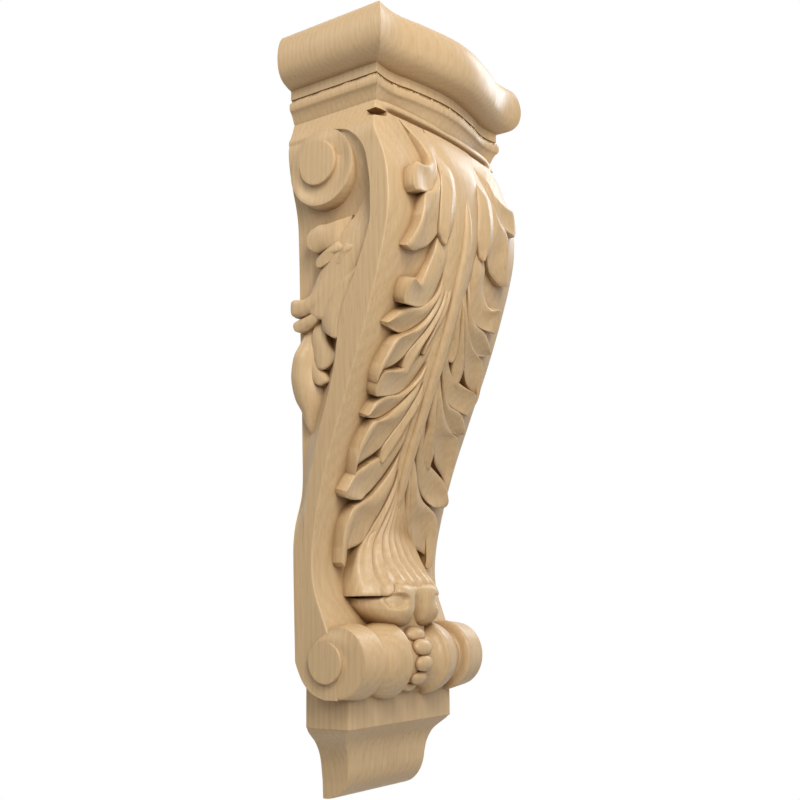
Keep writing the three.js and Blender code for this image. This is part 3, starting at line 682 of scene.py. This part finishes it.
# Side leaf, drawn as [depth from the wall, height]
sideLeaf = [
    {"kind": "blob", "rise": [0.3, 4.5, 7.5, 8.5, 9, 9.5],
     "outer": [[66, 430], [57, 414], [45, 401], [35, 389], [27, 378], [20, 368], [14, 358],
               [12, 349]],
     "inner": [[77, 430], [75, 412], [70, 393], [61, 376], [53, 361], [48, 348], [44, 337]],
     "end": [[12, 349], [20, 341], [30, 338], [44, 337]]},
    {"kind": "blob", "rise": [7, 9.5, 10.5],
     "outer": [[54, 413], [43, 410], [33, 409], [25, 410], [18.5, 407.5]],
     "inner": [[50, 398], [41, 393], [34, 390.5], [27, 389.5], [22, 389]],
     "end": [[18.5, 407.5], [15.8, 401], [16.5, 393.5], [22, 389]]},
    {"kind": "blob", "rise": [7, 9.2, 9],
     "outer": [[48, 402], [40, 394], [33, 390.5], [27, 388.5], [22.5, 386]],
     "inner": [[53, 393], [49, 388.5], [45, 386], [42, 385], [40, 384]],
     "end": [[22.5, 386], [22.5, 380], [25.5, 377], [33, 379], [40, 384]]},
    {"kind": "blob", "rise": [7, 9, 8.5],
     "outer": [[54, 397], [48, 390], [44.5, 386], [41, 383]],
     "inner": [[60, 391], [57, 387], [54, 384], [51.5, 382]],
     "end": [[41, 383], [41.5, 377.5], [45.5, 377], [51.5, 382]]},
    {"kind": "blob", "rise": [8, 9.5, 11.5],
     "outer": [[48, 388], [39, 379], [31, 372.5], [25, 366.5], [18, 360], [10, 356.5],
               [1.5, 357.5]],
     "inner": [[46, 372], [38, 362], [31, 354], [25, 349], [17, 345], [9, 343], [2, 343.5]],
     "end": [[1.5, 357.5], [0.2, 354.5], [0.2, 346.5], [2, 343.5]]},
    {"kind": "blob", "rise": [8, 9.5, 10.5],
     "outer": [[30, 353], [24, 348], [17, 344.5], [9, 342.8], [3, 341.5]],
     "inner": [[29, 344], [24, 339], [19, 335.5], [14, 333], [9, 331.8]],
     "end": [[3, 341.5], [1.2, 337.5], [3.5, 332.8], [9, 331.8]]},
    {"kind": "blob", "rise": [8, 10, 13],
     "outer": [[55, 388], [45, 370], [36, 358], [30, 349], [27, 341], [27, 333.5], [30.5, 328],
               [36, 324.5]],
     "inner": [[66, 388], [61, 376], [57, 365], [54.5, 355], [53.5, 347], [53.5, 340],
               [54, 333], [52.5, 327]],
     "end": [[36, 324.5], [44, 321.8], [52.5, 327]]},
    {"kind": "blob", "rise": [1, 7, 8.5],
     "outer": [[26, 350], [20.5, 343], [17, 334], [15.5, 325], [15.5, 315.5], [19, 306.5]],
     "inner": [[31, 346], [29.5, 338], [29, 330], [31, 322], [36, 315.5], [41.5, 312]],
     "end": [[19, 306.5], [25, 302], [33.5, 304], [41.5, 312]]},
    {"kind": "blob", "rise": [2, 7, 8],
     "outer": [[19, 338], [14.5, 329], [11, 319], [10, 309], [12, 299.5], [17, 293.5]],
     "inner": [[25, 328], [23, 319], [22.5, 311], [24.5, 304], [28.5, 299], [34, 293.5]],
     "end": [[17, 293.5], [23, 290.8], [29, 292], [34, 293.5]]},
    {"kind": "swell", "rise": [8, 13, 4],
     "outer": [[10, 337], [5.5, 325], [2, 314], [0.2, 302], [0.2, 292], [1.5, 282], [4.5, 274],
               [7, 264]],
     "inner": [[26, 334], [24, 318], [22, 306], [22, 296], [23, 286], [22, 276], [18, 266],
               [12, 254]]},
]


def makeSideLeaves():
    shape = Shape()
    for lobe in sideLeaf:
        makeLobe(shape, lobe, lambda depth, z, raised: sidePoint(-depth, z, raised))
    return shape.build("sideLeaves")


def addNode(tree, kind, place, values=None, **settings):
    node = tree.nodes.new(kind)
    node.location = place
    for key, value in settings.items():
        setattr(node, key, value)
    for key, value in (values or {}).items():
        node.inputs[key].default_value = value
    return node


# Inputs are numbers or other nodes' outputs
def addMath(tree, place, operation, *inputs, **settings):
    node = addNode(tree, "ShaderNodeMath", place, operation=operation, **settings)
    for socket, value in zip(node.inputs, inputs):
        if isinstance(value, (int, float)):
            socket.default_value = value
        else:
            tree.links.new(value, socket)
    return node.outputs[0]


def addRange(tree, place, value, start, end, **settings):
    node = addNode(tree, "ShaderNodeMapRange", place,
                   {"From Min": start[0], "From Max": start[1], "To Min": end[0], "To Max": end[1]},
                   **settings)
    tree.links.new(value, node.inputs["Value"])
    return node.outputs[0]


# Beads in the roll's middle groove, strung by a node tree: lengths in millimetres, turns in
# degrees, and three shares of a bead's rise
beads = {
    "count": 5, "halfWidth": 11.4, "rise": 4.8, "start": 55.0, "turn": 32.0, "shrink": 0.07,
    "reach": 19.0, "stand": 0.35, "thickness": 1.2, "length": 1.42, "segments": 40, "rings": 28,
}


def makeBeadTree(wood):
    tree = bpy.data.node_groups.new("beadString", "GeometryNodeTree")
    link = tree.links.new
    tree.interface.new_socket("Geometry", in_out="OUTPUT", socket_type="NodeSocketGeometry")
    middle = toFrame([[0, -roll["depth"], roll["height"]]])[0]
    values = {
        "Count": ("NodeSocketInt", beads["count"]),
        "Half Width": ("NodeSocketFloat", beads["halfWidth"] * mm),
        "Rise": ("NodeSocketFloat", beads["rise"] * mm),
        "First Angle": ("NodeSocketFloat", math.radians(beads["start"])),
        "Turn": ("NodeSocketFloat", math.radians(beads["turn"])),
        "Shrink": ("NodeSocketFloat", beads["shrink"]),
        "Reach": ("NodeSocketFloat", beads["reach"] * mm),
        "Middle": ("NodeSocketVector", tuple(middle)),
        "Wood": ("NodeSocketMaterial", wood),
    }
    for name, (kind, value) in values.items():
        tree.interface.new_socket(name, in_out="INPUT", socket_type=kind)
    given = addNode(tree, "NodeGroupInput", (-1400, 0)).outputs
    index = addNode(tree, "GeometryNodeInputIndex", (-1400, -500)).outputs[0]

    turned = addMath(tree, (-1200, -500), "MULTIPLY", index, given["Turn"])
    angle = addMath(tree, (-1000, -500), "SUBTRACT", given["First Angle"], turned)
    lost = addMath(tree, (-1200, -700), "MULTIPLY", index, given["Shrink"])
    size = addMath(tree, (-1000, -700), "SUBTRACT", 1.0, lost)
    rise = addMath(tree, (-800, -700), "MULTIPLY", size, given["Rise"])
    reach = addMath(tree, (-600, -700), "MULTIPLY_ADD", rise, beads["stand"], given["Reach"])
    inward = addMath(tree, (-400, -500), "MULTIPLY",
                     addMath(tree, (-600, -400), "COSINE", angle),
                     addMath(tree, (-600, -550), "MULTIPLY", reach, -1.0))
    upward = addMath(tree, (-400, -700), "MULTIPLY",
                     addMath(tree, (-600, -900), "SINE", angle), reach)
    offset = addNode(tree, "ShaderNodeCombineXYZ", (-200, -500))
    link(inward, offset.inputs["Y"])
    link(upward, offset.inputs["Z"])
    place = addNode(tree, "ShaderNodeVectorMath", (0, -400), operation="ADD")
    link(offset.outputs[0], place.inputs[0])
    link(given["Middle"], place.inputs[1])
    scale = addNode(tree, "ShaderNodeCombineXYZ", (0, -700))
    width = addMath(tree, (-200, -800), "MULTIPLY", size, given["Half Width"])
    link(width, scale.inputs["X"])
    link(addMath(tree, (-200, -950), "MULTIPLY", rise, beads["thickness"]), scale.inputs["Y"])
    link(addMath(tree, (-200, -1100), "MULTIPLY", rise, beads["length"]), scale.inputs["Z"])
    tilt = addNode(tree, "ShaderNodeCombineXYZ", (0, -900))
    link(addMath(tree, (-200, -1250), "MULTIPLY", angle, -1.0), tilt.inputs["X"])
    points = addNode(tree, "GeometryNodePoints", (200, 0))
    link(given["Count"], points.inputs["Count"])
    link(place.outputs[0], points.inputs["Position"])
    bead = addNode(tree, "GeometryNodeMeshUVSphere", (200, -300),
                   {"Segments": beads["segments"], "Rings": beads["rings"], "Radius": 1.0})
    strung = addNode(tree, "GeometryNodeInstanceOnPoints", (400, 0))
    link(points.outputs[0], strung.inputs["Points"])
    link(bead.outputs["Mesh"], strung.inputs["Instance"])
    link(tilt.outputs[0], strung.inputs["Rotation"])
    link(scale.outputs[0], strung.inputs["Scale"])
    real = addNode(tree, "GeometryNodeRealizeInstances", (600, 0))
    link(strung.outputs[0], real.inputs[0])
    rounded = addNode(tree, "GeometryNodeSetShadeSmooth", (800, 0))
    link(real.outputs[0], rounded.inputs[0])
    painted = addNode(tree, "GeometryNodeSetMaterial", (1000, 0))
    link(rounded.outputs[0], painted.inputs["Geometry"])
    link(given["Wood"], painted.inputs["Material"])
    link(painted.outputs[0], addNode(tree, "NodeGroupOutput", (1200, 0)).inputs[0])
    return tree, {name: value for name, (kind, value) in values.items()}


def makeBeads():
    piece = bpy.data.objects.new("beadRow", bpy.data.meshes.new("beadRow"))
    bpy.context.collection.objects.link(piece)
    tree, values = makeBeadTree(wood)
    string = piece.modifiers.new("beadString", "NODES")
    string.node_group = tree
    for socket in tree.interface.items_tree:
        if socket.in_out == "INPUT":
            string[socket.identifier] = values[socket.name]
    graph = bpy.context.evaluated_depsgraph_get()
    piece.data = bpy.data.meshes.new_from_object(piece.evaluated_get(graph))
    piece.modifiers.clear()
    return piece


# Pale close-grained wood, its grain running up the corbel
woodLook = {
    # The crease colour and the crease settings below are painted shade, mixed into carved hollows
    # through an ambient occlusion mask
    "light": (0.69, 0.495, 0.285), "dark": (0.55, 0.365, 0.18), "creaseShade": (0.25, 0.122, 0.038),
    "ringSpacing": 0.0042, "ringWander": 0.014, "ringAcross": (0.52, 0.85, 0.02),
    "ringShare": 0.16, "streakShare": (0.0, 0.5), "patchShare": (-0.12, 0.2),
    "poreShare": (0.0, 0.35), "creaseShadeAmount": (0.85, 0.0), "creaseShadeFromAO": (0.25, 0.88),
    "creaseShadeReach": 0.014, "gloss": (0.34, 0.48), "bump": 0.12, "bumpHeight": 0.0003,
    # how much each noise is drawn out along the grain, its scale, detail and roughness
    "wander": (0.07, 26.0, 3.0, 0.5), "streak": (0.03, 620.0, 4.0, 0.6),
    "patch": (0.07, 11.0, 2.0, 0.5), "pores": (0.09, 900.0, 1.0, 0.4),
}


def makeWood():
    wood = bpy.data.materials.new("paleWood")
    wood.use_nodes = True
    tree = wood.node_tree
    shader = tree.nodes["Principled BSDF"]
    link = tree.links.new
    look = woodLook
    place = addNode(tree, "ShaderNodeTexCoord", (-1700, 0)).outputs["Object"]

    def addGrain(name, y):
        along, scale, detail, roughness = look[name]
        drawn = addNode(tree, "ShaderNodeMapping", (-1500, y), {"Scale": (1, 1, along)})
        link(place, drawn.inputs["Vector"])
        noise = addNode(tree, "ShaderNodeTexNoise", (-1300, y),
                        {"Scale": scale, "Detail": detail, "Roughness": roughness})
        link(drawn.outputs[0], noise.inputs["Vector"])
        return noise.outputs["Fac"]

    # Growth rings, set wandering so that they aren't dead straight
    across = addNode(tree, "ShaderNodeVectorMath", (-1300, 0), {1: look["ringAcross"]},
                     operation="DOT_PRODUCT")
    link(place, across.inputs[0])
    shifted = addMath(tree, (-1100, 0), "MULTIPLY_ADD", addGrain("wander", 200),
                      look["ringWander"], across.outputs["Value"])
    turns = addMath(tree, (-950, 0), "MULTIPLY", shifted, 2 * math.pi / look["ringSpacing"])
    ring = addMath(tree, (-800, 0), "SINE", turns)
    ringSoft = addRange(tree, (-650, 0), ring, (-0.9, 1.0), (0.0, 1.0),
                        interpolation_type="SMOOTHSTEP")
    # Fine streaks, broad patches and pores; together they give the share of darker wood
    streak = addGrain("streak", -400)
    middle = (0.3, 0.7)
    fine = addMath(tree, (-250, 0), "ADD",
                   addMath(tree, (-450, 0), "MULTIPLY", ringSoft, look["ringShare"]),
                   addRange(tree, (-450, -300), streak, middle, look["streakShare"]))
    broad = addMath(tree, (-250, -300), "ADD",
                    addRange(tree, (-450, -600), addGrain("patch", -650), middle,
                             look["patchShare"]),
                    addRange(tree, (-1100, -850), addGrain("pores", -850), (0.62, 0.72),
                             look["poreShare"]))
    share = addMath(tree, (-100, 0), "ADD", fine, broad, use_clamp=True)
    tone = addNode(tree, "ShaderNodeMix", (60, 0), data_type="RGBA")
    tone.inputs["A"].default_value = (*look["light"], 1)
    tone.inputs["B"].default_value = (*look["dark"], 1)
    link(share, tone.inputs["Factor"])
    # Painted shade: an ambient occlusion mask darkens carved hollows and creases to a warm brown
    # where the light hardly reaches
    shade = addNode(tree, "ShaderNodeAmbientOcclusion", (60, -300),
                    {"Distance": look["creaseShadeReach"]}, samples=12)
    creaseShadeMask = addRange(tree, (240, -300), shade.outputs["AO"], look["creaseShadeFromAO"],
                    look["creaseShadeAmount"], interpolation_type="SMOOTHSTEP")
    shadedTone = addNode(tree, "ShaderNodeMix", (420, 0), data_type="RGBA")
    shadedTone.inputs["B"].default_value = (*look["creaseShade"], 1)
    link(creaseShadeMask, shadedTone.inputs["Factor"])
    link(tone.outputs["Result"], shadedTone.inputs["A"])
    link(shadedTone.outputs["Result"], shader.inputs["Base Color"])
    link(addRange(tree, (240, -600), streak, middle, look["gloss"]), shader.inputs["Roughness"])
    bump = addNode(tree, "ShaderNodeBump", (420, -600),
                   {"Strength": look["bump"], "Distance": look["bumpHeight"]})
    link(streak, bump.inputs["Height"])
    link(bump.outputs[0], shader.inputs["Normal"])
    return wood


wood = makeWood()
for make in (makeConsole, makeFrontLeaf, makeCap, makeScrolls, makeRoll, makeCurl, makeApron,
             makeFoot, makeSideLeaves, makeBeads):
    piece = make()
    if not piece.data.materials:
        piece.data.materials.append(wood)
    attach(piece, "root")
    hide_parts("corbel")
    print(piece.name, len(piece.data.polygons))


# Camera where the photograph was taken
camera = {
    "place": [-692.05, -539.17, 140.34], "yaw": 0.9453, "pitch": 0.1721, "roll": -0.0117,
    "focal": 1132.7, "frameWidth": 800, "sensor": 36,
}


def makeCamera():
    data = bpy.data.cameras.new("photoCamera")
    data.sensor_width = camera["sensor"]
    data.lens = camera["sensor"] * camera["focal"] / camera["frameWidth"]
    holder = bpy.data.objects.new("photoCamera", data)
    bpy.context.collection.objects.link(holder)
    yaw, pitch, tilt = camera["yaw"], camera["pitch"], camera["roll"]
    forward = np.array([math.sin(yaw) * math.cos(pitch), math.cos(yaw) * math.cos(pitch),
                        math.sin(pitch)])
    level = np.array([math.cos(yaw), -math.sin(yaw), 0])
    up = np.cross(level, forward)
    right = level * math.cos(tilt) + up * math.sin(tilt)
    up = up * math.cos(tilt) - level * math.sin(tilt)
    place = toFrame(camera["place"])
    rows = [[right[k], up[k], -forward[k], place[k]] for k in range(3)]
    holder.matrix_world = Matrix(rows + [[0, 0, 0, 1]])
    bpy.context.scene.camera = holder


makeCamera()
print("camera placed")


def makeStage():
    mesh = bpy.data.meshes.new("floor")
    s, z = studio["floorHalf"], footLevel - studio["floorDrop"]
    mesh.from_pydata([(-s, -s, z), (s, -s, z), (s, s, z), (-s, s, z)], [], [(0, 1, 2, 3)])
    floor = bpy.data.objects.new("floor", mesh)
    bpy.context.collection.objects.link(floor)
    paint = bpy.data.materials.new("paleFloor")
    paint.use_nodes = True
    colour = paint.node_tree.nodes["Principled BSDF"].inputs["Base Color"]
    colour.default_value = (*studio["floorColour"], 1)
    floor.data.materials.append(paint)


def makeLight(name, place, target, size, power, colour):
    data = bpy.data.lights.new(name, "AREA")
    data.shape = "RECTANGLE"
    data.size, data.size_y = size
    data.energy = power
    data.color = colour
    lamp = bpy.data.objects.new(name, data)
    bpy.context.collection.objects.link(lamp)
    lamp.location = place
    lamp.rotation_euler = (Vector(target) - Vector(place)).to_track_quat("-Z", "Y").to_euler()


# Soft studio light: a white backdrop behind the corbel, dimmer towards the camera's side
studio = {
    "backdrop": (0.83, 0.56, 0.0), "dim": 0.34, "bright": 1.0, "below": 0.4,
    "facing": (0.1, 0.7), "height": (-0.45, -0.2), "aim": (0, -0.03, 0),
    "floorHalf": 0.9, "floorDrop": 0.8, "floorColour": (0.85, 0.85, 0.85),
    "lamps": [
        {"name": "wallSideLamp", "place": (-0.9, 0.35, 0.85), "size": (0.4, 0.4), "power": 2.2,
         "colour": (1.0, 0.955, 0.89)},
        {"name": "frontLamp", "place": (-0.7, -0.95, 1.0), "size": (0.45, 0.45), "power": 10.5,
         "colour": (1.0, 0.965, 0.91)},
        {"name": "levelLamp", "place": (-0.6, -0.85, 0.32), "size": (0.5, 0.5), "power": 4.4,
         "colour": (1.0, 0.965, 0.9)},
        {"name": "sheenLamp", "place": (1.5, -0.25, 0.95), "size": (0.35, 0.8), "power": 8,
         "colour": (0.86, 0.91, 1.0)},
    ],
}


def makeWorld():
    world = bpy.data.worlds.new("studio")
    bpy.context.scene.world = world
    world.use_nodes = True
    tree = world.node_tree
    direction = addNode(tree, "ShaderNodeTexCoord", (-800, 0)).outputs["Generated"]
    facing = addNode(tree, "ShaderNodeVectorMath", (-600, 0), {1: studio["backdrop"]},
                     operation="DOT_PRODUCT")
    tree.links.new(direction, facing.inputs[0])
    level = addRange(tree, (-400, 0), facing.outputs["Value"], studio["facing"],
                     (studio["dim"], studio["bright"]), interpolation_type="SMOOTHSTEP")
    # Dimmer again from below, under the part of the backdrop that the camera sees
    split = addNode(tree, "ShaderNodeSeparateXYZ", (-600, -300))
    tree.links.new(direction, split.inputs[0])
    lower = addRange(tree, (-400, -300), split.outputs["Z"], studio["height"],
                     (studio["below"], 1.0), interpolation_type="SMOOTHSTEP")
    strength = addMath(tree, (-200, -100), "MULTIPLY", level, lower)
    tree.links.new(strength, tree.nodes["Background"].inputs["Strength"])
    tree.nodes["Background"].inputs["Color"].default_value = (1, 1, 1, 1)


makeStage()
makeWorld()
for lamp in studio["lamps"]:
    makeLight(lamp["name"], lamp["place"], studio["aim"], lamp["size"], lamp["power"],
              lamp["colour"])
print("studio lit")
bpy.context.scene.view_settings.view_transform = "Standard"
bpy.context.scene.view_settings.look = "None"
